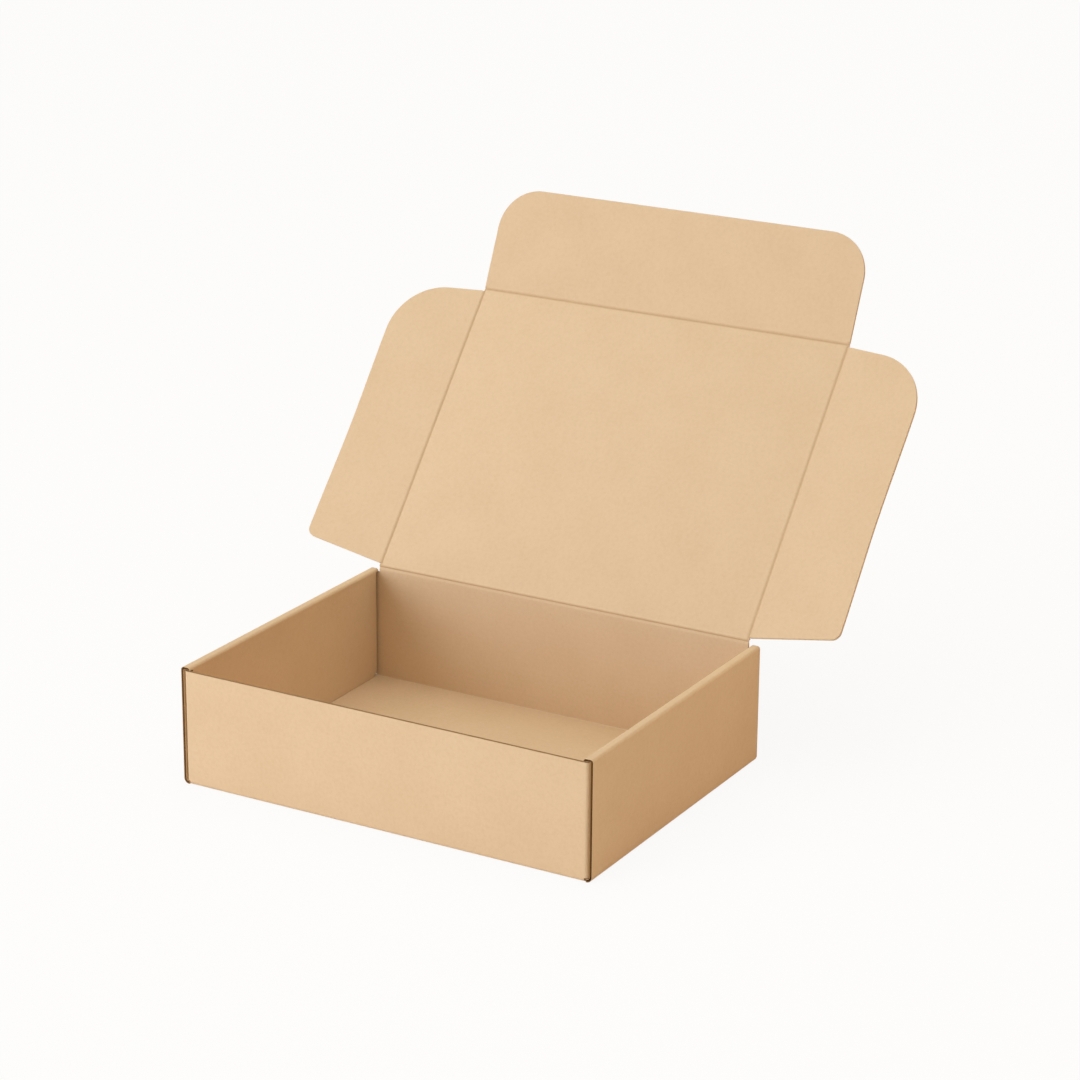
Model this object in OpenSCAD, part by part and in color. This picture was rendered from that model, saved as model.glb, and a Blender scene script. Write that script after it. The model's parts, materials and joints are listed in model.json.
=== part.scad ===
// Corrugated mailer box with roll-over side walls and a tuck-in lid, folded from one sheet.
// It stands open. Origin: centre of the base's underside. +X right, +Y to the back, +Z up.
// All sizes are in millimetres and all angles in degrees.

/* [Inside of the box] */
// Width between the inner side walls
inside_w = 279; // [200:1:400]
// Depth between the front wall and the back wall
inside_d = 214; // [170:1:320]
// Height of the side walls above the table
wall_h = 78; // [50:1:150]

/* [Board] */
// Thickness of the corrugated board
board_t = 1.8; // [1.2:0.1:3.2]
// Gap between the outer side walls and the dust flaps inside them
outer_gap = 0.8; // [0.2:0.05:1.2]
// Gap between the dust flaps and the inner side walls
inner_gap = 0.3; // [0.2:0.05:0.6]
// Inside radius of the folds between the bottom and the side walls
side_fold_in = 1.7; // [0.4:0.1:1.9]
// Inside radius of the folds between the bottom and the end walls
end_fold_in = 0.6; // [0.2:0.1:1.6]
// Inside radius of the upright folds at the four corners
corner_fold_in = 0.6; // [0.2:0.1:1.6]
// Inside radius of the two folds along the top of each side wall
rim_fold_in = 0.1; // [0.1:0.05:0.5]

/* [Walls] */
// Gap between the front wall's top edge and the underside of the side walls' top strips
end_wall_drop = 0.4; // [0.3:0.1:10]
// How far the side walls' raw ends stay behind the faces of the front and back walls
raw_end_set = 0.6; // [0:0.1:2]
// Gap between an inner side wall's end and the front or back wall
inner_end_gap = 2; // [0.2:0.1:4]
// Gap between an inner side wall's lower edge and the bottom
inner_lift = 0.2; // [0.1:0.1:1]
// Cut-off lower corner of the inner side walls
inner_corner = 4; // [1:0.5:12]
// Gap between the front and the back dust flap inside a side wall
dust_mid_gap = 24; // [10:1:120]
// Cut-off corner of the dust flaps
dust_corner = 12; // [2:1:22]
// Gap under a dust flap, above the fold of the side wall
dust_lift = 0.3; // [0.1:0.1:3]

/* [Tabs and slots] */
// Width of each tab
tab_w = 30; // [10:1:60]
// Distance between the centres of the two tabs of a side
tab_pitch = 106; // [65:1:120]
// Cut-off corner of a tab's lower end
tab_corner = 0.8; // [0.2:0.1:1.2]
// Clearance around a tab in its slot
slot_play = 0.3; // [0.2:0.05:0.6]
// How far a tab's end stays above the underside
tab_end_set = 0.2; // [0:0.1:1]

/* [Lid] */
// Lean of the open lid, back past upright
lid_lean = 40.3; // [0:0.1:88]
// Gap between the closed lid and the tops of the side walls
lid_gap = 0.9; // [0.8:0.1:3]
// Running gap at the creases that turn
crease_gap = 0.3; // [0.2:0.05:0.6]
// Rounding of the pressed board beside a crease
crease_round = 0.5; // [0.1:0.05:0.55]
// Gap between the top of the back wall and each inner side wall
crest_side_gap = 1.5; // [0.4:0.1:4]

/* [Side flaps of the lid] */
// Fold of the side flaps out of the lid's plane, at rest
ear_fold = 4.5; // [0:0.5:90]
// Gap between a folded side flap and the inner side wall
ear_play = 1.3; // [0.4:0.1:5]
// Gap between a folded side flap's long edge and the bottom
ear_floor_gap = 16.5; // [1:0.5:24]
// Gap between a folded side flap and the back wall, at the crease
ear_back_play = 1.4; // [0.4:0.1:10]
// Gap between a folded side flap and the folded front flap, at the crease
ear_front_play = 0.7; // [0.4:0.1:10]
// Slant of the edge beside the back wall
ear_back_slant = 8.1; // [0:0.1:15]
// Slant of the edge beside the front flap
ear_front_slant = 5.6; // [0:0.1:15]
// Depth of the slight hollow along the long edge
ear_waist = 1.1; // [0:0.1:6]
// Radius of the large corner beside the front flap
ear_front_r = 38.5; // [5:0.5:48]
// Radius of the small corner beside the back wall
ear_back_r = 6; // [1:0.5:20]

/* [Front flap of the lid] */
// Fold of the front flap out of the lid's plane, at rest
tuck_fold = 16; // [0:0.5:90]
// Gap between the folded front flap and the front wall
tuck_play = 2.5; // [0.4:0.1:5]
// Gap between the folded front flap's edge and the bottom
tuck_floor_gap = 5.6; // [1:0.1:20]
// Gap between the folded front flap's ends and the inner side walls
tuck_side_play = 1.7; // [0.4:0.1:20]
// Radius of the two large corners
tuck_r = 28.5; // [5:0.5:40]

/* [Hidden] */
$fn = 64;
kraft = "#dfc197";

// Straight board at each end of a fold, which lies in the panel beside it
run_in = 0.5;

// Half sizes over all
half_w = inside_w / 2 + 3 * board_t + outer_gap + inner_gap;
half_d = inside_d / 2 + board_t;

// Faces of the three boards in a side wall, from outside to inside
outer_wall_in = half_w - board_t;
dust_out = outer_wall_in - outer_gap;
dust_in = dust_out - board_t;
inner_wall_out = dust_in - inner_gap;
inner_wall_in = inner_wall_out - board_t;

// Outside radii of the folds
side_fold_r = side_fold_in + board_t;
end_fold_r = end_fold_in + board_t;
corner_fold_r = corner_fold_in + board_t;
rim_fold_r = rim_fold_in + board_t;

// Heights and lengths of the walls
end_wall_h = wall_h - board_t - end_wall_drop;
end_wall_half = dust_out - corner_fold_r;
fold_reach = max(0, side_fold_in - outer_gap);
fold_rise = side_fold_r - sqrt(side_fold_in * side_fold_in - fold_reach * fold_reach);
dust_bottom = max(fold_rise, end_fold_r) + dust_lift;
raw_end_y = half_d - raw_end_set;
inner_end_y = inside_d / 2 - inner_end_gap;
fold_end_x = half_w - side_fold_r;
fold_end_y = half_d - end_fold_r;

// The lid's hinge line, and its three fold lines in the lid's own plane
hinge_y = half_d - board_t / 2;
hinge_z = wall_h + lid_gap + board_t / 2;
crest_half = inside_w / 2 - crest_side_gap;
ear_x = inside_w / 2 - ear_play - board_t / 2;
lid_len = hinge_y + inside_d / 2 - tuck_play - board_t / 2;
root = board_t / 2 + crease_gap;

// Sizes of the flaps, measured from their fold lines
ear_w = hinge_z - board_t - ear_floor_gap;
tuck_len = hinge_z - board_t - tuck_floor_gap;
tuck_half = inside_w / 2 - tuck_side_play;
ear_back_v = board_t / 2 + ear_back_play;
ear_front_v = lid_len - board_t / 2 - ear_front_play;
waist_steps = 12;

// Helpers

// The same shape on the right and on the left
module both_sides() {
    children();
    mirror([1, 0, 0]) children();
}

// The same shape at the front and at the back
module both_ends() {
    children();
    mirror([0, 1, 0]) children();
}

// A section drawn in X and Z, run along Y
module along_y(length) {
    rotate([90, 0, 0]) linear_extrude(length, center = true) children();
}

// A section drawn in Y and Z, run along X
module along_x(length) {
    rotate([90, 0, 90]) linear_extrude(length, center = true) children();
}

// Section of board bent through a right angle, about its centre of bend
module bend_section(outer_r) {
    difference() {
        intersection() {
            circle(outer_r);
            square(outer_r);
        }
        circle(outer_r - board_t);
    }
}

// The same, with the straight board at both ends that runs into the panels beside the fold
module fold_section(outer_r) {
    bend_section(outer_r);
    translate([-run_in, outer_r - board_t]) square([run_in, board_t]);
    translate([outer_r - board_t, -run_in]) square([board_t, run_in]);
}

// Section of board whose pressed end, at x = root, is rounded on both faces
module pressed_section(length) {
    translate([root, -board_t / 2 + crease_round])
        square([length - root, board_t - 2 * crease_round]);
    translate([root + crease_round, -board_t / 2])
        square([length - root - crease_round, board_t]);
    for (side = [-1, 1])
        translate([root + crease_round, side * (board_t / 2 - crease_round)]) circle(crease_round);
}

// Places what is drawn in the lid's own frame: Y runs from the hinge to the front crease,
// Z points out of the lid's inner face, and the board's middle plane is at 0
module in_lid() {
    translate([0, hinge_y, hinge_z]) rotate([90 - lid_lean, 0, 0]) children();
}

// Tray

// Bottom panel with its four slots
module bottom_panel() {
    difference() {
        translate([-fold_end_x, -fold_end_y, 0]) cube([2 * fold_end_x, 2 * fold_end_y, board_t]);
        both_sides() both_ends()
            translate([inner_wall_in - slot_play, tab_pitch / 2 - tab_w / 2 - slot_play, -1])
                cube([board_t + 2 * slot_play, tab_w + 2 * slot_play, board_t + 2]);
    }
}

// One end wall at +Y: its fold, its panel, and the folds round both corners into the dust flaps
module end_wall() {
    along_x(2 * end_wall_half) translate([fold_end_y, end_fold_r]) mirror([0, 1]) fold_section(end_fold_r);
    translate([-end_wall_half, half_d - board_t, end_fold_r])
        cube([2 * end_wall_half, board_t, end_wall_h - end_fold_r]);
    both_sides() {
        translate([end_wall_half, half_d - corner_fold_r, dust_bottom])
            linear_extrude(end_wall_h - dust_bottom) fold_section(corner_fold_r);
        dust_flap();
    }
}

// Dust flap of the end wall at +Y, inside the side wall at +X
module dust_flap() {
    root_y = half_d - corner_fold_r;
    free_y = dust_mid_gap / 2;
    translate([dust_in + board_t / 2, 0, 0]) along_x(board_t) polygon([
        [root_y, dust_bottom],
        [free_y + dust_corner, dust_bottom],
        [free_y, dust_bottom + dust_corner],
        [free_y, end_wall_h - dust_corner],
        [free_y + dust_corner, end_wall_h],
        [root_y, end_wall_h],
    ]);
}

// The back wall's top, raised above the side walls to the crease that the lid turns on
module back_crest() {
    translate([-crest_half, half_d - board_t, end_wall_h - 1])
        cube([2 * crest_half, board_t, hinge_z - end_wall_h + 1]);
    translate([-crest_half, hinge_y, hinge_z]) rotate([0, 90, 0]) cylinder(h = 2 * crest_half, r = board_t / 2);
}

// One side wall at +X: outer wall, top strip and inner wall, rolled over the dust flaps
module side_wall() {
    along_y(2 * raw_end_y) {
        translate([fold_end_x, side_fold_r]) mirror([0, 1]) fold_section(side_fold_r);
        translate([outer_wall_in, side_fold_r]) square([board_t, wall_h - rim_fold_r - side_fold_r]);
        translate([half_w - rim_fold_r, wall_h - rim_fold_r]) fold_section(rim_fold_r);
        translate([inner_wall_in + rim_fold_r, wall_h - board_t])
            square([half_w - inner_wall_in - 2 * rim_fold_r, board_t]);
        translate([inner_wall_in + rim_fold_r, wall_h - rim_fold_r]) mirror([1, 0]) bend_section(rim_fold_r);
    }
    along_y(2 * inner_end_y)
        translate([inner_wall_in + rim_fold_r, wall_h - rim_fold_r]) mirror([1, 0]) fold_section(rim_fold_r);
    inner_low = board_t + inner_lift;
    translate([inner_wall_in + board_t / 2, 0, 0]) along_x(board_t) polygon([
        [-inner_end_y, wall_h - rim_fold_r],
        [-inner_end_y, inner_low + inner_corner],
        [-inner_end_y + inner_corner, inner_low],
        [inner_end_y - inner_corner, inner_low],
        [inner_end_y, inner_low + inner_corner],
        [inner_end_y, wall_h - rim_fold_r],
    ]);
    both_ends() tab();
}

// Tab on an inner side wall's lower edge, down into its slot
module tab() {
    translate([inner_wall_in + board_t / 2, tab_pitch / 2, 0]) along_x(board_t) polygon([
        [-tab_w / 2, board_t + inner_lift + 1],
        [-tab_w / 2, tab_end_set + tab_corner],
        [-tab_w / 2 + tab_corner, tab_end_set],
        [tab_w / 2 - tab_corner, tab_end_set],
        [tab_w / 2, tab_end_set + tab_corner],
        [tab_w / 2, board_t + inner_lift + 1],
    ]);
}

module tray() {
    color(kraft) {
        bottom_panel();
        both_ends() end_wall();
        back_crest();
        both_sides() side_wall();
    }
}

// Lid

// Lid panel, with the rolled edges that its three flaps turn on
module lid() {
    color(kraft) in_lid() {
        rotate([90, 0, 90]) linear_extrude(2 * ear_x, center = true) pressed_section(lid_len);
        both_sides() translate([ear_x, root + board_t / 2, 0]) rotate([-90, 0, 0])
            cylinder(h = lid_len - root - board_t / 2, r = board_t / 2);
        translate([-ear_x, lid_len, 0]) rotate([0, 90, 0]) cylinder(h = 2 * ear_x, r = board_t / 2);
    }
}

// Centre of a corner arc between the long edge and an edge that slants away from it
function slant_corner(edge_v, slant, r, away) =
    [ear_w - r, edge_v - away * ((ear_w - r) * tan(slant) + r / cos(slant))];

// Outline of a side flap: X across from the crease, Y along it
module ear_outline() {
    front_c = slant_corner(ear_front_v, ear_front_slant, ear_front_r, 1);
    back_c = slant_corner(ear_back_v, ear_back_slant, ear_back_r, -1);
    front_touch = front_c + ear_front_r * [sin(ear_front_slant), cos(ear_front_slant)];
    back_touch = back_c + ear_back_r * [sin(ear_back_slant), -cos(ear_back_slant)];
    long_edge = [for (i = [0:waist_steps])
        [
            ear_w - ear_waist * pow(sin(180 * i / waist_steps), 2),
            back_c[1] + (front_c[1] - back_c[1]) * i / waist_steps
        ]];
    polygon(concat([[0, ear_back_v], back_touch], long_edge, [front_touch, [0, ear_front_v]]));
    intersection() {
        translate(front_c) circle(ear_front_r, $fn = 128);
        translate(front_c) square(ear_front_r);
    }
    intersection() {
        translate(back_c) circle(ear_back_r);
        translate(back_c - [0, ear_back_r]) square(ear_back_r);
    }
}

// A flap's board: its outline, with the pressed end beside the crease
module flap_board(width, length) {
    intersection() {
        linear_extrude(board_t, center = true) children();
        translate([0, length / 2, 0]) rotate([90, 0, 0])
            linear_extrude(length + 2, center = true) pressed_section(width + 1);
    }
}

// Side flap at +X, on the lid's side crease
module side_flap() {
    color(kraft) in_lid() translate([ear_x, 0, 0]) rotate([0, -ear_fold, 0])
        flap_board(ear_w, lid_len) ear_outline();
}

module right_flap() {
    side_flap();
}

module left_flap() {
    mirror([1, 0, 0]) side_flap();
}

// Outline of the front flap: X out from the crease, Y along it
module tuck_outline() {
    straight = tuck_half - tuck_r;
    translate([0, -tuck_half]) square([tuck_len - tuck_r, 2 * tuck_half]);
    translate([0, -straight]) square([tuck_len, 2 * straight]);
    for (side = [-1, 1])
        translate([tuck_len - tuck_r, side * straight]) circle(tuck_r, $fn = 128);
}

// Front flap, which tucks in behind the front wall
module front_flap() {
    color(kraft) in_lid() translate([0, lid_len, 0]) rotate([tuck_fold, 0, 0]) rotate([0, 0, 90])
        translate([0, -tuck_half, 0]) flap_board(tuck_len, 2 * tuck_half)
            translate([0, tuck_half]) tuck_outline();
}

tray();
lid();
left_flap();
right_flap();
front_flap();
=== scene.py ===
"""Kraft mailer box, standing open: its boards, creases and studio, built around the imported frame."""

import json
import math

import bmesh
import bpy
from mathutils import Matrix, Vector


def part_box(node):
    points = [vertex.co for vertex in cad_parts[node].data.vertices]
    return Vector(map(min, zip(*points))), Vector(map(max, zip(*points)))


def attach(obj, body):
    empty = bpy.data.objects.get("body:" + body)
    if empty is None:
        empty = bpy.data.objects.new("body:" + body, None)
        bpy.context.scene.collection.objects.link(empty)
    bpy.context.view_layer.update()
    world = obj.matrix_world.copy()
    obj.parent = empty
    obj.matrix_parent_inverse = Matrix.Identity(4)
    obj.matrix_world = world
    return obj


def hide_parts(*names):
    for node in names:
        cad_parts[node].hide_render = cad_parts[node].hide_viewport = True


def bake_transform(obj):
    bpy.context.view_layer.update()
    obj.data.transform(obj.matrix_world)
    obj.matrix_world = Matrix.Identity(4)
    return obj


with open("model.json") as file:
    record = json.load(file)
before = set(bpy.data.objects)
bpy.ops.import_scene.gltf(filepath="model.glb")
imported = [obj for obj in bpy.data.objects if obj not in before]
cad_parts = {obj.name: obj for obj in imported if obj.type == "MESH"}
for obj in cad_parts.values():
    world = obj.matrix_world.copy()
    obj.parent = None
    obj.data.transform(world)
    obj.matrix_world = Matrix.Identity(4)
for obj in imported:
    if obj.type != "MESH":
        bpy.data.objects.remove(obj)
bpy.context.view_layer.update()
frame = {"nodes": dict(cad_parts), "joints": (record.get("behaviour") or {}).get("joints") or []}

bl_info = {
    "name": "Kraft Mailer Box",
    "version": (1, 0, 0),
    "blender": (4, 5, 0),
    "location": "View3D > Sidebar > Mailer Box",
    "description": "Boards, creases and studio of an open corrugated mailer box",
    "category": "Object",
}


# Finishes, by their place in each piece's list of materials

LINER = 0
CORE = 1
CUT_LINER = 2


# Limits for modelling, in metres and radians

MERGE_DISTANCE = 0.00001
CUT_THRESHOLD = 0.000001
PLACE_TOLERANCE = 0.00005
FLAT_ANGLE = math.radians(0.4)
SMOOTH_ANGLE = math.radians(35)
# A face looks along an axis where its normal has more than the first share on it, and it lies edgewise
# where its normal has less than the second share across the board
FACING_SHARE = 0.99
EDGEWISE_SHARE = 0.5


# Shape of a crease

# Strips of faces on each side of the groove
PRESS_STEPS = 5
# Power of the groove's profile, which is straight at 1 and steeper at the line above that
PRESS_POWER = 1.6


# Patterns of the paper, in cells to the metre

CLOUD_SCALE = 28.0
# Flecks of 2.4 mm, torn fibres of 1.1 mm and a grain of 0.6 mm: the real ones are finer, and these are
# drawn as coarse as they need to be to show
FLECK_SCALE = 420.0
TORN_SCALE = 900.0
GRAIN_SCALE = 1600.0


# Relief of the paper: its depth in metres and its two parts

RELIEF_DEPTH = 0.00005
GRAIN_SHARE = 0.6
RIDGE_SHARE = 0.35


# Wave of the fluted paper in a cut, in metres

# Half the drawn width of the paper
WAVE_PAPER = 0.0002
# Distance from the paper's middle at which the hollow beside it is in full shade
WAVE_SHADE = 0.00045
# Room between the paper's middle and a liner, at the crest of a flute
WAVE_CLEARANCE = 0.00012


# Lamps and floor, in metres and radians

LAMP_SIZE = 2.4
LAMP_DISTANCE = 3.2
LAMP_ELEVATION = math.radians(8)
LAMP_AIM = Vector((0, 0.05, 0.12))
KEY_AZIMUTH = math.radians(30)
FILL_AZIMUTH = math.radians(-120)
FLOOR_RADIUS = 14
# Share of the floor that the camera sees as even white
FLOOR_GLOW = 0.9


# Sizes read from the frame, in metres

joints = {joint["name"]: joint for joint in frame["joints"]}
hinge_point = Vector(joints["lid_hinge"]["pos_m"])
front_point = Vector(joints["front_flap_hinge"]["pos_m"])
side_point = Vector(joints["right_flap_hinge"]["pos_m"])
lid_up = Vector(joints["left_flap_hinge"]["axis"]).normalized()
lid_face = Vector((0, -lid_up.z, lid_up.y))
lid_lean = math.atan2(lid_up.y, lid_up.z)
lid_length = (front_point - hinge_point).length
side_fold = math.radians(-joints["right_flap_hinge"]["range_deg"][0])
front_fold = math.radians(-joints["front_flap_hinge"]["range_deg"][0])
tray_low, tray_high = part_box("tray")
board_thickness = 2 * (tray_high.y - hinge_point.y)
half_board = board_thickness / 2


def board_matrix(origin, across, along, face):
    """A board's own frame: X across and Y along its middle plane, and Z out of its inner face."""
    matrix = Matrix((across, along, face)).transposed().to_4x4()
    matrix.translation = origin
    return matrix


def board_matrices():
    """The place of each board's own frame in the box, at rest."""
    lid = board_matrix(hinge_point, Vector((1, 0, 0)), lid_up, lid_face)
    lid_turn = lid.to_3x3().to_4x4()
    left_point = Vector((-side_point.x, side_point.y, side_point.z))
    return {
        "tray": Matrix.Identity(4),
        "lid": lid,
        "right_flap": Matrix.Translation(side_point) @ lid_turn @ Matrix.Rotation(-side_fold, 4, "Y"),
        "left_flap": Matrix.Translation(left_point) @ lid_turn @ Matrix.Rotation(side_fold, 4, "Y"),
        "front_flap": Matrix.Translation(front_point) @ lid_turn @ Matrix.Rotation(front_fold, 4, "X"),
    }


# Way out from the lid over each flap's crease, in the boards' own frames

FLAP_WAYS = {
    "left_flap": Vector((-1, 0, 0)),
    "right_flap": Vector((1, 0, 0)),
    "front_flap": Vector((0, 1, 0)),
}


# Settings

def linear(hex_colour):
    """An sRGB hex colour as linear red, green and blue, with an alpha of 1."""
    channels = [int(hex_colour[i:i + 2], 16) / 255 for i in (1, 3, 5)]
    turned = [c / 12.92 if c <= 0.04045 else ((c + 0.055) / 1.055) ** 2.4 for c in channels]
    return (*turned, 1.0)


class BoardSettings(bpy.types.PropertyGroup):
    """Sizes and colours of the corrugated board."""

    liner_colour: bpy.props.FloatVectorProperty(
        name="Liner", description="Colour of the kraft liner paper",
        subtype="COLOR", size=4, min=0, max=1, default=linear("#DFC29C"),
    )
    fibre_colour: bpy.props.FloatVectorProperty(
        name="Fibres", description="Colour of the darker fibres and flecks in the liner",
        subtype="COLOR", size=4, min=0, max=1, default=linear("#C9A678"),
    )
    cut_colour: bpy.props.FloatVectorProperty(
        name="Cut paper", description="Colour of the liners' cut edges",
        subtype="COLOR", size=4, min=0, max=1, default=linear("#C6A177"),
    )
    core_colour: bpy.props.FloatVectorProperty(
        name="Core", description="Colour of the fluted paper at a cut edge",
        subtype="COLOR", size=4, min=0, max=1, default=linear("#A98352"),
    )
    # Painted shade: the hollows between the flutes at the tray's cut edges are drawn in this dark colour
    hollow_shade_colour: bpy.props.FloatVectorProperty(
        name="Hollows", description="Colour between the flutes at a cut edge",
        subtype="COLOR", size=4, min=0, max=1, default=linear("#4A2F17"),
    )
    # Partly painted highlight: paler than the liner, this colour stands in for the light that the pressed
    # cut edges catch
    edge_and_highlight_colour: bpy.props.FloatVectorProperty(
        name="Pressed edge", description="Colour of a cut edge that the die pressed nearly shut",
        subtype="COLOR", size=4, min=0, max=1, default=linear("#E6CEA9"),
    )
    liner_thickness: bpy.props.FloatProperty(
        name="Liner thickness", description="Thickness of each of the two liners",
        subtype="DISTANCE", unit="LENGTH", default=0.0002, min=0.0001, max=0.0005,
    )
    core_depth: bpy.props.FloatProperty(
        name="Core depth", description="How far the core lies behind an edge that is pressed nearly shut",
        subtype="DISTANCE", unit="LENGTH", default=0.0001, min=0.0, max=0.002,
    )
    groove_depth: bpy.props.FloatProperty(
        name="Groove depth", description="How far the core lies behind an edge that is cut along a flute",
        subtype="DISTANCE", unit="LENGTH", default=0.0015, min=0.0, max=0.002,
    )
    flute_pitch: bpy.props.FloatProperty(
        name="Flute pitch", description="Distance from one flute to the next",
        subtype="DISTANCE", unit="LENGTH", default=0.0034, min=0.001, max=0.01,
    )
    crease_reach: bpy.props.FloatProperty(
        name="Crease reach", description="Distance from a crease line at which its groove ends",
        subtype="DISTANCE", unit="LENGTH", default=0.0020, min=0.0005, max=0.003,
    )
    crease_press: bpy.props.FloatProperty(
        name="Crease press", description="Share of the board's thickness that a crease presses away",
        subtype="FACTOR", default=0.8, min=0, max=0.8,
    )
    # Painted shade along the lid's crease lines: how far from the line it reaches, and how much of the
    # core's colour it mixes into the liner
    crease_shade_reach: bpy.props.FloatProperty(
        name="Score reach", description="Distance from a crease line at which its darker tone ends",
        subtype="DISTANCE", unit="LENGTH", default=0.0013, min=0.0005, max=0.003,
    )
    crease_shade_share: bpy.props.FloatProperty(
        name="Score tone", description="Share of the core's colour in the liner on a crease line",
        subtype="FACTOR", default=0.35, min=0, max=1,
    )
    crease_end: bpy.props.FloatProperty(
        name="Crease end", description="Distance from a crease line at which the turning board begins",
        subtype="DISTANCE", unit="LENGTH", default=0.0022, min=0.0015, max=0.004,
    )


class StudioSettings(bpy.types.PropertyGroup):
    """The camera's place and the lamps' strengths."""

    camera_location: bpy.props.FloatVectorProperty(
        name="Camera", description="Where the camera stands",
        subtype="TRANSLATION", size=3, default=(1.0035, -1.6668, 0.8240),
    )
    camera_azimuth: bpy.props.FloatProperty(
        name="Azimuth", description="Turn of the view from straight on towards the right",
        subtype="ANGLE", default=math.radians(29.841),
    )
    camera_elevation: bpy.props.FloatProperty(
        name="Elevation", description="Height of the view above the horizon",
        subtype="ANGLE", default=math.radians(18.974),
    )
    camera_roll: bpy.props.FloatProperty(
        name="Roll", description="Turn of the camera about its own line of sight",
        subtype="ANGLE", default=math.radians(0.437),
    )
    camera_lens: bpy.props.FloatProperty(
        name="Lens", description="Focal length in millimetres on a 36 mm wide frame",
        subtype="DISTANCE_CAMERA", default=111.06, min=20, max=400,
    )
    key_power: bpy.props.FloatProperty(
        name="Key lamp", description="Power of the large lamp at the front left",
        unit="POWER", default=86, min=0, max=500,
    )
    key_colour: bpy.props.FloatVectorProperty(
        name="Key colour", description="Colour of the large lamp",
        subtype="COLOR", size=3, min=0, max=2, default=(0.82, 0.86, 1.0),
    )
    fill_power: bpy.props.FloatProperty(
        name="Fill lamp", description="Power of the lamp for warm light thrown back from the right",
        unit="POWER", default=21, min=0, max=500,
    )
    fill_colour: bpy.props.FloatVectorProperty(
        name="Fill colour", description="Colour of the light thrown back from the right",
        subtype="COLOR", size=3, min=0, max=2, default=(1.0, 0.36, 0.0),
    )
    room_strength: bpy.props.FloatProperty(
        name="Room light", description="Strength of the room's light straight overhead",
        default=1.65, min=0, max=3,
    )
    room_colour: bpy.props.FloatVectorProperty(
        name="Room colour", description="Colour of the room's light",
        subtype="COLOR", size=3, min=0, max=2, default=(1.0, 0.985, 0.93),
    )


# Materials

def add_node(tree, kind, inputs=None, **settings):
    """Adds a node, gives it its settings, and sets or links its inputs by name or number."""
    node = tree.nodes.new(kind)
    for name, value in settings.items():
        setattr(node, name, value)
    for socket, value in (inputs or {}).items():
        if isinstance(value, bpy.types.NodeSocket):
            tree.links.new(value, node.inputs[socket])
        else:
            node.inputs[socket].default_value = value
    return node


def new_material(name):
    """An empty node material and its node tree."""
    material = bpy.data.materials.new(name)
    material.use_nodes = True
    material.node_tree.nodes.clear()
    return material, material.node_tree


def board_coordinates(tree, matrix):
    """Object coordinates turned into a board's own frame: across, along and through the board."""
    place = add_node(tree, "ShaderNodeTexCoord")
    turned = add_node(tree, "ShaderNodeMapping", {
        "Vector": place.outputs["Object"],
        "Location": matrix.translation,
        "Rotation": matrix.to_euler("XYZ"),
    }, vector_type="TEXTURE")
    return turned.outputs["Vector"], place.outputs["Normal"]


def washboard(tree, place, normal, node_name, board):
    """Height of the ridges over the flutes, which run from side to side through the whole blank."""
    parts = add_node(tree, "ShaderNodeSeparateXYZ", {"Vector": place})
    along = parts.outputs["Y"]
    if node_name == "tray":
        facing = add_node(tree, "ShaderNodeSeparateXYZ", {"Vector": normal})
        steep = add_node(tree, "ShaderNodeMath", {0: facing.outputs["Y"]}, operation="ABSOLUTE")
        chosen = add_node(tree, "ShaderNodeMix", {
            "Factor": steep.outputs["Value"], "A": parts.outputs["Y"], "B": parts.outputs["Z"],
        }, data_type="FLOAT")
        along = chosen.outputs["Result"]
    turns = add_node(tree, "ShaderNodeMath", {
        0: along, 1: math.tau / board.flute_pitch,
    }, operation="MULTIPLY")
    wave = add_node(tree, "ShaderNodeMath", {0: turns.outputs["Value"]}, operation="SINE")
    return wave.outputs["Value"]


def painted_crease_shade(tree, place, board):
    """Share of painted shade along the lid's crease lines: 1 on a line, falling to 0 where the shade
    ends.
    """
    parts = add_node(tree, "ShaderNodeSeparateXYZ", {"Vector": place})
    nearest = board.crease_shade_reach
    for axis, position in (("X", side_point.x), ("Y", lid_length), ("Y", 0.0)):
        size = add_node(tree, "ShaderNodeMath", {0: parts.outputs[axis]}, operation="ABSOLUTE")
        off = add_node(tree, "ShaderNodeMath", {
            0: size.outputs["Value"], 1: position,
        }, operation="SUBTRACT")
        distance = add_node(tree, "ShaderNodeMath", {0: off.outputs["Value"]}, operation="ABSOLUTE")
        least = add_node(tree, "ShaderNodeMath", {
            0: distance.outputs["Value"], 1: nearest,
        }, operation="MINIMUM")
        nearest = least.outputs["Value"]
    nearness = add_node(tree, "ShaderNodeMapRange", {
        "Value": nearest, "From Max": board.crease_shade_reach, "To Min": 1.0, "To Max": 0.0,
    })
    return nearness.outputs["Result"]


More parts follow.
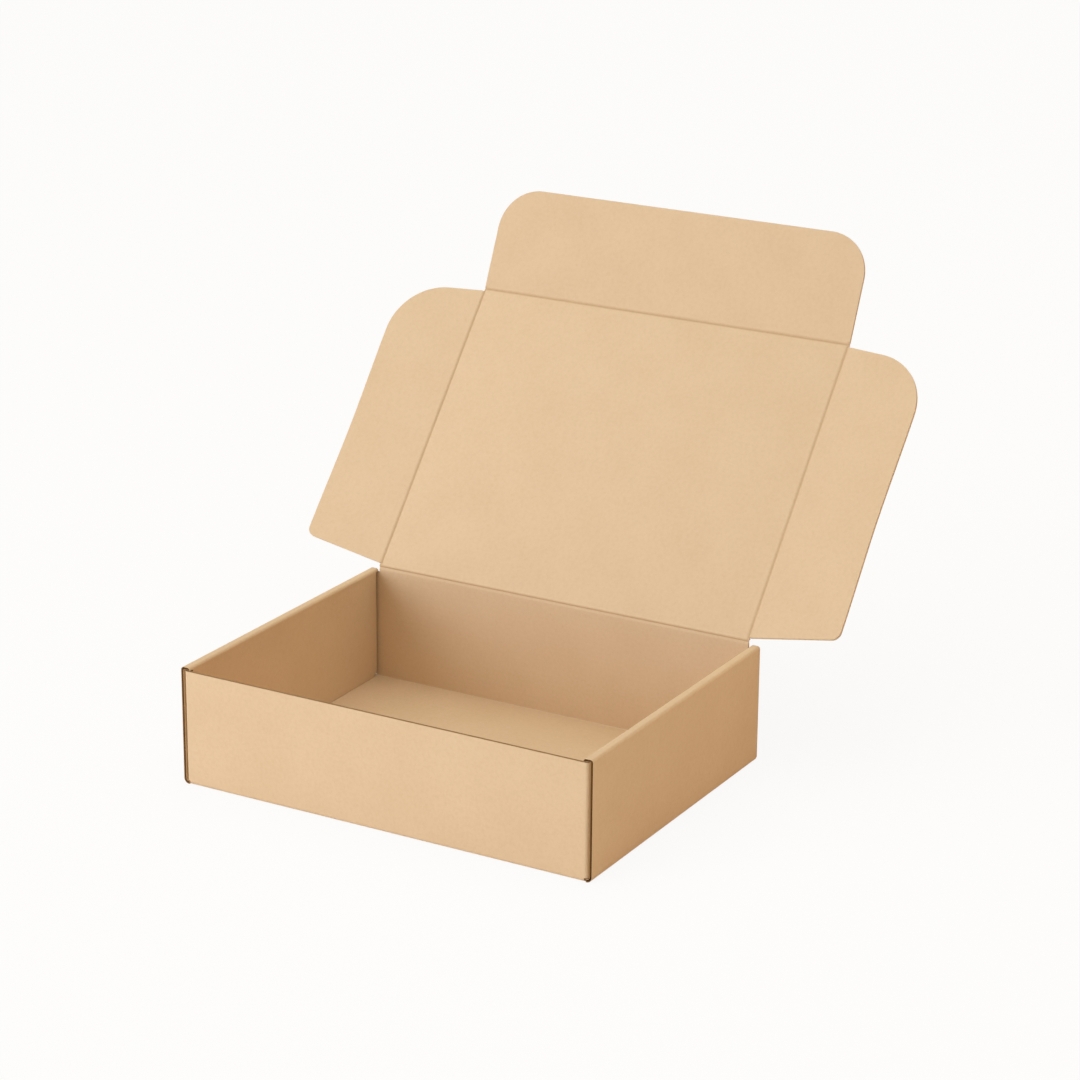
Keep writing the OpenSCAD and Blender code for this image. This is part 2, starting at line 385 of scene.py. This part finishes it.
def kraft_liner(node_name, matrix, board):
    """Uncoated kraft liner: matt unbleached paper, so its sheen is weak and its fibres show as faint
    flecks and clouds. The flutes behind it read through as a faint washboard, one ridge to a flute, and
    painted shade darkens it towards the core's colour along the lid's creases."""
    material, tree = new_material(f"kraft_liner_{node_name}")
    place, normal = board_coordinates(tree, matrix)
    clouds = add_node(tree, "ShaderNodeTexNoise", {"Vector": place, "Scale": CLOUD_SCALE, "Detail": 3.0})
    flecks = add_node(tree, "ShaderNodeTexNoise", {
        "Vector": place, "Scale": FLECK_SCALE, "Detail": 4.0, "Roughness": 0.7,
    })
    fleck_share = add_node(tree, "ShaderNodeMapRange", {
        "Value": flecks.outputs["Fac"], "From Min": 0.42, "From Max": 0.78, "To Max": 0.24,
    })
    cloud_share = add_node(tree, "ShaderNodeMapRange", {
        "Value": clouds.outputs["Fac"], "From Min": 0.35, "From Max": 0.68, "To Max": 0.12,
    })
    share = add_node(tree, "ShaderNodeMath", {
        0: fleck_share.outputs["Result"], 1: cloud_share.outputs["Result"],
    }, operation="ADD")
    paper = add_node(tree, "ShaderNodeMix", {
        "Factor": share.outputs["Value"], "A": board.liner_colour[:], "B": board.fibre_colour[:],
    }, data_type="RGBA")
    colour = paper.outputs["Result"]
    # Painted shade on the lid's crease lines: near each line the liner is mixed towards the core's colour
    if node_name == "lid":
        shade_nearness = painted_crease_shade(tree, place, board)
        painted_shade_share = add_node(tree, "ShaderNodeMath", {0: shade_nearness, 1: board.crease_shade_share}, operation="MULTIPLY")
        darker = add_node(tree, "ShaderNodeMix", {
            "Factor": painted_shade_share.outputs["Value"], "A": colour, "B": board.core_colour[:],
        }, data_type="RGBA")
        colour = darker.outputs["Result"]
    ridges = washboard(tree, place, normal, node_name, board)
    grain = add_node(tree, "ShaderNodeTexNoise", {"Vector": place, "Scale": GRAIN_SCALE, "Detail": 2.0})
    faint_ridges = add_node(tree, "ShaderNodeMath", {0: ridges, 1: RIDGE_SHARE}, operation="MULTIPLY")
    relief = add_node(tree, "ShaderNodeMath", {
        0: grain.outputs["Fac"], 1: GRAIN_SHARE, 2: faint_ridges.outputs["Value"],
    }, operation="MULTIPLY_ADD")
    bump = add_node(tree, "ShaderNodeBump", {
        "Strength": 0.5, "Distance": RELIEF_DEPTH, "Height": relief.outputs["Value"],
    })
    surface = add_node(tree, "ShaderNodeBsdfPrincipled", {
        "Base Color": colour, "Roughness": 0.85, "IOR": 1.45,
        "Specular IOR Level": 0.25, "Normal": bump.outputs["Normal"],
    })
    add_node(tree, "ShaderNodeOutputMaterial", {"Surface": surface.outputs["BSDF"]})
    return material


def painted_groove_shade(tree, place):
    """Share of painted shade in a groove cut along a flute: nearly all of it, broken a little by loose
    fibres.
    """
    fibres = add_node(tree, "ShaderNodeTexNoise", {"Vector": place, "Scale": TORN_SCALE, "Detail": 3.0})
    share = add_node(tree, "ShaderNodeMapRange", {
        "Value": fibres.outputs["Fac"], "From Min": 0.3, "From Max": 0.7, "To Min": 0.65, "To Max": 0.95,
    })
    return share.outputs["Result"]


def painted_wave_shade(tree, place, normal, board):
    """Share of painted shade in the hollows beside the wave of the fluted paper, on the edges that cross
    the flutes.
    """
    parts = add_node(tree, "ShaderNodeSeparateXYZ", {"Vector": place})
    turns = add_node(tree, "ShaderNodeMath", {
        0: parts.outputs["Y"], 1: math.tau / board.flute_pitch,
    }, operation="MULTIPLY")
    wave = add_node(tree, "ShaderNodeMath", {0: turns.outputs["Value"]}, operation="SINE")
    swing = half_board - board.liner_thickness - WAVE_CLEARANCE
    height = add_node(tree, "ShaderNodeMath", {0: wave.outputs["Value"], 1: swing}, operation="MULTIPLY")
    off = add_node(tree, "ShaderNodeMath", {
        0: parts.outputs["Z"], 1: height.outputs["Value"],
    }, operation="SUBTRACT")
    distance = add_node(tree, "ShaderNodeMath", {0: off.outputs["Value"]}, operation="ABSOLUTE")
    hollow = add_node(tree, "ShaderNodeMapRange", {
        "Value": distance.outputs["Value"], "From Min": WAVE_PAPER, "From Max": WAVE_SHADE,
    })
    facing = add_node(tree, "ShaderNodeSeparateXYZ", {"Vector": normal})
    sideways = add_node(tree, "ShaderNodeMath", {0: facing.outputs["X"]}, operation="ABSOLUTE")
    crossing = add_node(tree, "ShaderNodeMapRange", {
        "Value": sideways.outputs["Value"], "From Min": 0.5, "From Max": 0.9,
    })
    share = add_node(tree, "ShaderNodeMath", {
        0: crossing.outputs["Result"], 1: hollow.outputs["Result"],
    }, operation="MULTIPLY")
    return share.outputs["Value"]


def fluted_core(node_name, matrix, board):
    """Cut edge of the fluted core: rough paper, sunk between the liners. The tray's edges are cut along
    a flute and show a dark groove, and the flaps' pressed edges show the flutes' wave faintly. The dark
    of the groove and of the hollows beside the wave is painted shade."""
    material, tree = new_material(f"fluted_core_{node_name}")
    place, normal = board_coordinates(tree, matrix)
    if node_name == "tray":
        share = painted_groove_shade(tree, place)
        paper, hollows = board.core_colour, board.hollow_shade_colour
    else:
        share = painted_wave_shade(tree, place, normal, board)
        # Flaps: the paler paper is partly painted highlight
        paper, hollows = board.edge_and_highlight_colour, board.cut_colour
    # Painted shade: where the share is high, the darker colour stands for the shade in the hollows
    colour = add_node(tree, "ShaderNodeMix", {
        "Factor": share, "A": paper[:], "B": hollows[:],
    }, data_type="RGBA")
    surface = add_node(tree, "ShaderNodeBsdfPrincipled", {
        "Base Color": colour.outputs["Result"], "Roughness": 0.95, "Specular IOR Level": 0.1,
    })
    add_node(tree, "ShaderNodeOutputMaterial", {"Surface": surface.outputs["BSDF"]})
    return material


def cut_liner(node_name, board):
    """Cut edge of the liner paper: torn fibres, so it is rougher than its face and a little darker. The
    lid's and the flaps' cut edges are pressed nearly shut, and their paler colour is partly painted
    highlight."""
    material, tree = new_material(f"cut_kraft_liner_{node_name}")
    light, dark = board.cut_colour, board.core_colour
    if node_name != "tray":
        light, dark = board.edge_and_highlight_colour, board.cut_colour
    place = add_node(tree, "ShaderNodeTexCoord")
    fibres = add_node(tree, "ShaderNodeTexNoise", {
        "Vector": place.outputs["Object"], "Scale": TORN_SCALE, "Detail": 3.0,
    })
    colour = add_node(tree, "ShaderNodeMix", {
        "Factor": fibres.outputs["Fac"], "A": light[:], "B": dark[:],
    }, data_type="RGBA")
    surface = add_node(tree, "ShaderNodeBsdfPrincipled", {
        "Base Color": colour.outputs["Result"], "Roughness": 0.95, "Specular IOR Level": 0.1,
    })
    add_node(tree, "ShaderNodeOutputMaterial", {"Surface": surface.outputs["BSDF"]})
    return material


# Modelling helpers

def start_modelling(piece):
    """Opens a piece alone in edit mode."""
    bpy.ops.object.select_all(action="DESELECT")
    piece.select_set(True)
    bpy.context.view_layer.objects.active = piece
    bpy.ops.object.mode_set(mode="EDIT")
    bpy.context.tool_settings.mesh_select_mode = (True, False, True)
    bpy.ops.mesh.select_all(action="SELECT")


def select_faces(piece, wanted):
    """Selects the faces for which wanted(face) is true, and nothing else."""
    bpy.ops.mesh.select_all(action="DESELECT")
    mesh = bmesh.from_edit_mesh(piece.data)
    chosen = [face for face in mesh.faces if wanted(face)]
    for face in chosen:
        face.select_set(True)
    bmesh.update_edit_mesh(piece.data)


def select_points(piece, wanted):
    """Selects the vertices for which wanted(place) is true, and nothing else."""
    bpy.ops.mesh.select_all(action="DESELECT")
    mesh = bmesh.from_edit_mesh(piece.data)
    for point in mesh.verts:
        point.select_set(wanted(point.co))
    bmesh.update_edit_mesh(piece.data)


def give_finish(piece, index):
    """Gives the selected faces one of the piece's finishes."""
    piece.active_material_index = index
    bpy.ops.object.material_slot_assign()


def add_finishes(piece, node_name, board):
    """The three finishes of the board, laid out in the frame of the node's own board."""
    matrix = board_matrices()[node_name]
    piece.data.materials.append(kraft_liner(node_name, matrix, board))
    piece.data.materials.append(fluted_core(node_name, matrix, board))
    piece.data.materials.append(cut_liner(node_name, board))


def board_piece(node_name, board):
    """A copy of a node's solid, laid in its own board's frame, merged into clean faces and open in
    edit mode."""
    mesh = frame["nodes"][node_name].data.copy()
    mesh.transform(board_matrices()[node_name].inverted())
    piece = bpy.data.objects.new(f"{node_name}_board", mesh)
    bpy.context.scene.collection.objects.link(piece)
    mesh.materials.clear()
    add_finishes(piece, node_name, board)
    start_modelling(piece)
    bpy.ops.mesh.customdata_custom_splitnormals_clear()
    bpy.ops.mesh.remove_doubles(threshold=MERGE_DISTANCE)
    bpy.ops.mesh.dissolve_limited(angle_limit=FLAT_ANGLE)
    give_finish(piece, LINER)
    return piece


def pressed_share(distance, board):
    """Share of its thickness that the board keeps at a distance from a crease line: the score is a
    groove whose flanks are steepest at the line."""
    nearness = max(0.0, 1 - distance / board.crease_reach)
    return 1 - board.crease_press * nearness ** PRESS_POWER


def press_steps(board):
    """Distances from a crease line at which the pressed board's faces meet, the furthest first."""
    return [board.crease_reach * step / PRESS_STEPS for step in range(PRESS_STEPS, 0, -1)]


def press_creases(piece, creases, through, centre, board, within=lambda place: True):
    """Presses the board thinner towards its crease lines. Each crease is a point on the line and the
    way out over it. The thickness is measured along the axis named by through, about centre."""
    steps = press_steps(board)
    for point, outward in creases:
        for step in steps:
            bpy.ops.mesh.select_all(action="SELECT")
            bpy.ops.mesh.bisect(
                plane_co=point - outward * step, plane_no=outward, threshold=CUT_THRESHOLD,
            )

    def from_crease(place):
        return max(0.0, min((point - place).dot(outward) for point, outward in creases))

    for step in (*steps[1:], 0.0):
        select_points(piece, lambda place: (
            within(place) and abs(from_crease(place) - step) < MERGE_DISTANCE
        ))
        share = pressed_share(step, board)
        scale = [share if axis == through else 1 for axis in "XYZ"]
        bpy.ops.transform.resize(value=scale, center_override=centre)


def cut_back(piece, outward, board):
    """Cuts a turning board off where the web of its crease ends, and closes the cut."""
    bpy.ops.mesh.select_all(action="SELECT")
    bpy.ops.mesh.bisect(
        plane_co=outward * board.crease_end, plane_no=outward, threshold=CUT_THRESHOLD,
        use_fill=True, clear_inner=True,
    )


def sink_core(piece, wanted, depth, board):
    """Sinks the core between the two liners along the cut edges that wanted() picks. The sides of the
    groove lean in by a hair, so that they are faces of their own."""
    lean = board.liner_thickness / 20
    select_faces(piece, wanted)
    give_finish(piece, CUT_LINER)
    bpy.ops.mesh.inset(thickness=board.liner_thickness, use_even_offset=True)
    bpy.ops.mesh.inset(thickness=lean, depth=-depth, use_even_offset=True)
    give_finish(piece, CORE)


def leave_modelling(piece, matrix):
    """Leaves edit mode, smooths the round folds, and moves the finished mesh to its place in the box."""
    bpy.ops.object.mode_set(mode="OBJECT")
    bpy.ops.object.shade_smooth_by_angle(angle=SMOOTH_ANGLE)
    piece.data.transform(matrix)
    piece.data.update()


def finish_board(piece, node_name):
    """Puts the finished board in its node's place."""
    leave_modelling(piece, board_matrices()[node_name])
    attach(piece, node_name)
    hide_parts(node_name)


# Pieces

class MAILER_OT_tray(bpy.types.Operator):
    """Folded tray: bottom, end walls, and side walls rolled over the dust flaps."""

    bl_idname = "mailer.tray"
    bl_label = "Tray"

    def execute(self, context):
        board = context.scene.mailer_board
        piece = board_piece("tray", board)
        mesh = bmesh.from_edit_mesh(piece.data)
        crest_end = max(v.co.x for v in mesh.verts if v.co.z > hinge_point.z)
        wall_top = max(v.co.z for v in mesh.verts if v.co.y < tray_low.y + half_board / 2)
        raw_end_area = (4 * board_thickness) ** 2

        def cut(face):
            centre = face.calc_center_median()
            in_side_wall = abs(centre.x) > crest_end and face.calc_area() > raw_end_area
            at_end = abs(face.normal.y) > FACING_SHARE and in_side_wall
            at_top = face.normal.z > FACING_SHARE and abs(centre.z - wall_top) < PLACE_TOLERANCE
            return at_end or at_top

        sink_core(piece, cut, board.groove_depth, board)

        def in_crest(place):
            in_back_wall = abs(place.y - hinge_point.y) < half_board + PLACE_TOLERANCE
            return in_back_wall and abs(place.x) < crest_end + PLACE_TOLERANCE

        press_creases(piece, [(hinge_point, Vector((0, 0, 1)))], "Y", hinge_point, board, in_crest)
        finish_board(piece, "tray")
        return {"FINISHED"}


class MAILER_OT_lid(bpy.types.Operator):
    """Lid panel, pressed along its creases."""

    bl_idname = "mailer.lid"
    bl_label = "Lid"

    def execute(self, context):
        board = context.scene.mailer_board
        piece = board_piece("lid", board)
        cut_back(piece, Vector((0, 1, 0)), board)
        creases = [
            (Vector((side_point.x, 0, 0)), Vector((1, 0, 0))),
            (Vector((-side_point.x, 0, 0)), Vector((-1, 0, 0))),
            (Vector((0, lid_length, 0)), Vector((0, 1, 0))),
        ]
        press_creases(piece, creases, "Z", Vector((0, 0, 0)), board)
        finish_board(piece, "lid")
        return {"FINISHED"}


class MAILER_OT_flaps(bpy.types.Operator):
    """Side flaps and front flap of the lid, with their cut edges."""

    bl_idname = "mailer.flaps"
    bl_label = "Lid flaps"

    def execute(self, context):
        board = context.scene.mailer_board
        root = board.crease_end + PLACE_TOLERANCE
        for node_name, outward in FLAP_WAYS.items():
            piece = board_piece(node_name, board)
            cut_back(piece, outward, board)
            sink_core(piece, lambda face: self.is_cut(face, outward, root), board.core_depth, board)
            finish_board(piece, node_name)
        return {"FINISHED"}

    def is_cut(self, face, outward, root):
        """Whether a face is one of the flap's cut edges, and not the end that its crease joins."""
        return abs(face.normal.z) < EDGEWISE_SHARE and face.calc_center_median().dot(outward) > root


class MAILER_OT_creases(bpy.types.Operator):
    """Webs of pressed board where the lid and its flaps turn, each shaped as it rests; only the lid's web
    is bent.
    """

    bl_idname = "mailer.creases"
    bl_label = "Creases"

    def execute(self, context):
        board = context.scene.mailer_board
        matrices = board_matrices()
        for node_name, outward in FLAP_WAYS.items():
            low, high = self.root_span(node_name, outward, board)
            self.add_web(node_name, "lid", matrices[node_name], outward, low, high, 0.0, board)
        low, high = self.root_span("lid", Vector((0, 1, 0)), board)
        self.add_web("lid", "tray", matrices["lid"], Vector((0, 1, 0)), low, high, lid_lean, board)
        return {"FINISHED"}

    def root_span(self, node_name, outward, board):
        """The two ends, along its crease, of the edge at which a turning board begins."""
        piece = bpy.data.objects[f"{node_name}_board"]
        inverse = board_matrices()[node_name].inverted()
        places = [inverse @ v.co for v in piece.data.vertices]
        root = [place for place in places if abs(place.dot(outward) - board.crease_end) < PLACE_TOLERANCE]
        along = [place.y if outward.x else place.x for place in root]
        return min(along), max(along)

    def add_web(self, node_name, parent_name, matrix, outward, low, high, bent, board):
        """One web, from its crease line to the turning board, with the lid's finishes. It is drawn
        straight, pressed like the boards beside it, and then bent back by the angle at which it rests."""
        along = Vector((0, 1, 0)) if outward.x else Vector((1, 0, 0))
        middle = outward * board.crease_end / 2 + along * (low + high) / 2
        size = (board.crease_end, high - low, board_thickness)
        if outward.y:
            size = (high - low, board.crease_end, board_thickness)
        bpy.ops.object.select_all(action="DESELECT")
        bpy.ops.mesh.primitive_cube_add(size=1, location=middle, scale=size)
        piece = bpy.context.object
        piece.name = f"{node_name}_crease"
        bpy.ops.object.transform_apply(location=True, rotation=True, scale=True)
        for finish in bpy.data.objects["lid_board"].data.materials:
            piece.data.materials.append(finish)
        start_modelling(piece)
        press_creases(piece, [(Vector((0, 0, 0)), -outward)], "Z", Vector((0, 0, 0)), board)
        select_faces(piece, lambda face: abs(face.normal.dot(along)) > FACING_SHARE)
        give_finish(piece, CUT_LINER)
        leave_modelling(piece, Matrix.Identity(4))
        self.bend(piece, outward, bent, board)
        piece.data.transform(matrix)
        way = matrix.to_3x3() @ outward
        way.rotate(Matrix.Rotation(bent / 2, 3, "X"))
        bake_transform(piece)

    def bend(self, piece, outward, bent, board):
        """Turns each cross-section of a web about the crease line, less the further out it is."""
        for point in piece.data.vertices:
            share = min(max(point.co.dot(outward) / board.crease_end, 0), 1)
            eased = share * share * (3 - 2 * share)
            point.co.rotate(Matrix.Rotation(bent * (1 - eased), 3, "X"))


class MAILER_OT_studio(bpy.types.Operator):
    """White studio: floor, room light, two large soft lamps and the camera."""

    bl_idname = "mailer.studio"
    bl_label = "Studio"

    def execute(self, context):
        studio = context.scene.mailer_studio
        context.scene.view_settings.view_transform = "Standard"
        self.add_camera(context, studio)
        self.add_floor()
        self.add_room_light(context, studio)
        self.add_lamp(context, "key_lamp", studio.key_power, studio.key_colour, KEY_AZIMUTH)
        self.add_lamp(context, "fill_lamp", studio.fill_power, studio.fill_colour, FILL_AZIMUTH)
        return {"FINISHED"}

    def add_camera(self, context, studio):
        """The camera, turned by its azimuth, elevation and roll."""
        azimuth = studio.camera_azimuth
        elevation = studio.camera_elevation
        back = Vector((
            math.sin(azimuth) * math.cos(elevation),
            -math.cos(azimuth) * math.cos(elevation),
            math.sin(elevation),
        ))
        right = Vector((0, 0, 1)).cross(back).normalized()
        right.rotate(Matrix.Rotation(studio.camera_roll, 3, back))
        up = back.cross(right)
        data = bpy.data.cameras.new("camera")
        data.sensor_width = 36
        data.lens = studio.camera_lens
        camera = bpy.data.objects.new("camera", data)
        camera.matrix_world = board_matrix(Vector(studio.camera_location), right, up, back)
        context.scene.collection.objects.link(camera)
        context.scene.camera = camera

    def add_floor(self):
        """A white sweep: matt card, which the camera sees mostly as lit evenly from behind."""
        bpy.ops.object.select_all(action="DESELECT")
        bpy.ops.mesh.primitive_circle_add(vertices=96, radius=FLOOR_RADIUS, fill_type="NGON")
        floor = bpy.context.object
        floor.name = "floor"
        material, tree = new_material("white_card_floor")
        seen = self.seen_rays(tree)
        share = add_node(tree, "ShaderNodeMath", {0: seen, 1: FLOOR_GLOW}, operation="MULTIPLY")
        card = add_node(tree, "ShaderNodeBsdfDiffuse", {"Color": linear("#EFE7DA")})
        glow = add_node(tree, "ShaderNodeEmission", {"Color": linear("#FFFFFF"), "Strength": 1.0})
        both = add_node(tree, "ShaderNodeMixShader", {
            0: share.outputs["Value"], 1: card.outputs["BSDF"], 2: glow.outputs["Emission"],
        })
        add_node(tree, "ShaderNodeOutputMaterial", {"Surface": both.outputs["Shader"]})
        floor.data.materials.append(material)

    def seen_rays(self, tree):
        """1 for what the camera sees, straight or in a reflection, and 0 for light on its way."""
        path = add_node(tree, "ShaderNodeLightPath")
        straight = add_node(tree, "ShaderNodeMath", {
            0: path.outputs["Is Camera Ray"], 1: path.outputs["Is Glossy Ray"],
        }, operation="MAXIMUM")
        seen = add_node(tree, "ShaderNodeMath", {
            0: straight.outputs["Value"], 1: path.outputs["Is Transmission Ray"],
        }, operation="MAXIMUM")
        return seen.outputs["Value"]

    def add_room_light(self, context, studio):
        """Light of the room, strongest overhead, with a white backdrop for the camera."""
        world = bpy.data.worlds.new("room")
        world.use_nodes = True
        tree = world.node_tree
        tree.nodes.clear()
        seen = self.seen_rays(tree)
        way = add_node(tree, "ShaderNodeTexCoord")
        height = add_node(tree, "ShaderNodeSeparateXYZ", {"Vector": way.outputs["Generated"]})
        squared = add_node(tree, "ShaderNodeMath", {
            0: height.outputs["Z"], 1: height.outputs["Z"],
        }, operation="MULTIPLY")
        strength = add_node(tree, "ShaderNodeMath", {
            0: squared.outputs["Value"], 1: studio.room_strength,
        }, operation="MULTIPLY")
        room = add_node(tree, "ShaderNodeBackground", {
            "Color": (*studio.room_colour, 1.0), "Strength": strength.outputs["Value"],
        })
        white = add_node(tree, "ShaderNodeBackground", {"Color": linear("#FFFFFF"), "Strength": 1.0})
        chosen = add_node(tree, "ShaderNodeMixShader", {
            0: seen, 1: room.outputs["Background"], 2: white.outputs["Background"],
        })
        add_node(tree, "ShaderNodeOutputWorld", {"Surface": chosen.outputs["Shader"]})
        context.scene.world = world

    def add_lamp(self, context, name, power, colour, azimuth):
        """A very large round lamp, low over the floor and aimed at the middle of the box. Its azimuth is
        counted from straight in front towards the left."""
        data = bpy.data.lights.new(name, "AREA")
        data.shape = "DISK"
        data.size = LAMP_SIZE
        data.energy = power
        data.color = colour
        lamp = bpy.data.objects.new(name, data)
        way = Vector((
            -math.sin(azimuth) * math.cos(LAMP_ELEVATION),
            -math.cos(azimuth) * math.cos(LAMP_ELEVATION),
            math.sin(LAMP_ELEVATION),
        ))
        lamp.location = LAMP_AIM + way * LAMP_DISTANCE
        lamp.rotation_euler = (-way).to_track_quat("-Z", "Y").to_euler()
        context.scene.collection.objects.link(lamp)


# Sidebar and registration

class MAILER_PT_sidebar(bpy.types.Panel):
    """Lists the settings and the pieces in the sidebar."""

    bl_idname = "MAILER_PT_sidebar"
    bl_label = "Mailer Box"
    bl_space_type = "VIEW_3D"
    bl_region_type = "UI"
    bl_category = "Mailer Box"

    def draw(self, context):
        layout = self.layout
        for settings in (context.scene.mailer_board, context.scene.mailer_studio):
            for name in settings.__annotations__:
                layout.prop(settings, name)
        for operator in OPERATORS:
            layout.operator(operator.bl_idname)


OPERATORS = (MAILER_OT_studio, MAILER_OT_tray, MAILER_OT_lid, MAILER_OT_flaps, MAILER_OT_creases)
CLASSES = (BoardSettings, StudioSettings, *OPERATORS, MAILER_PT_sidebar)


def register():
    """Registers every class and attaches the settings to the scene."""
    for item in CLASSES:
        bpy.utils.register_class(item)
    bpy.types.Scene.mailer_board = bpy.props.PointerProperty(type=BoardSettings)
    bpy.types.Scene.mailer_studio = bpy.props.PointerProperty(type=StudioSettings)


def unregister():
    """Takes the settings off the scene and unregisters every class."""
    del bpy.types.Scene.mailer_studio
    del bpy.types.Scene.mailer_board
    for item in reversed(CLASSES):
        bpy.utils.unregister_class(item)


def main():
    """Builds the studio and the box."""
    register()
    bpy.ops.mailer.studio()
    bpy.ops.mailer.tray()
    bpy.ops.mailer.lid()
    bpy.ops.mailer.flaps()
    bpy.ops.mailer.creases()


if __name__ == "__main__":
    main()
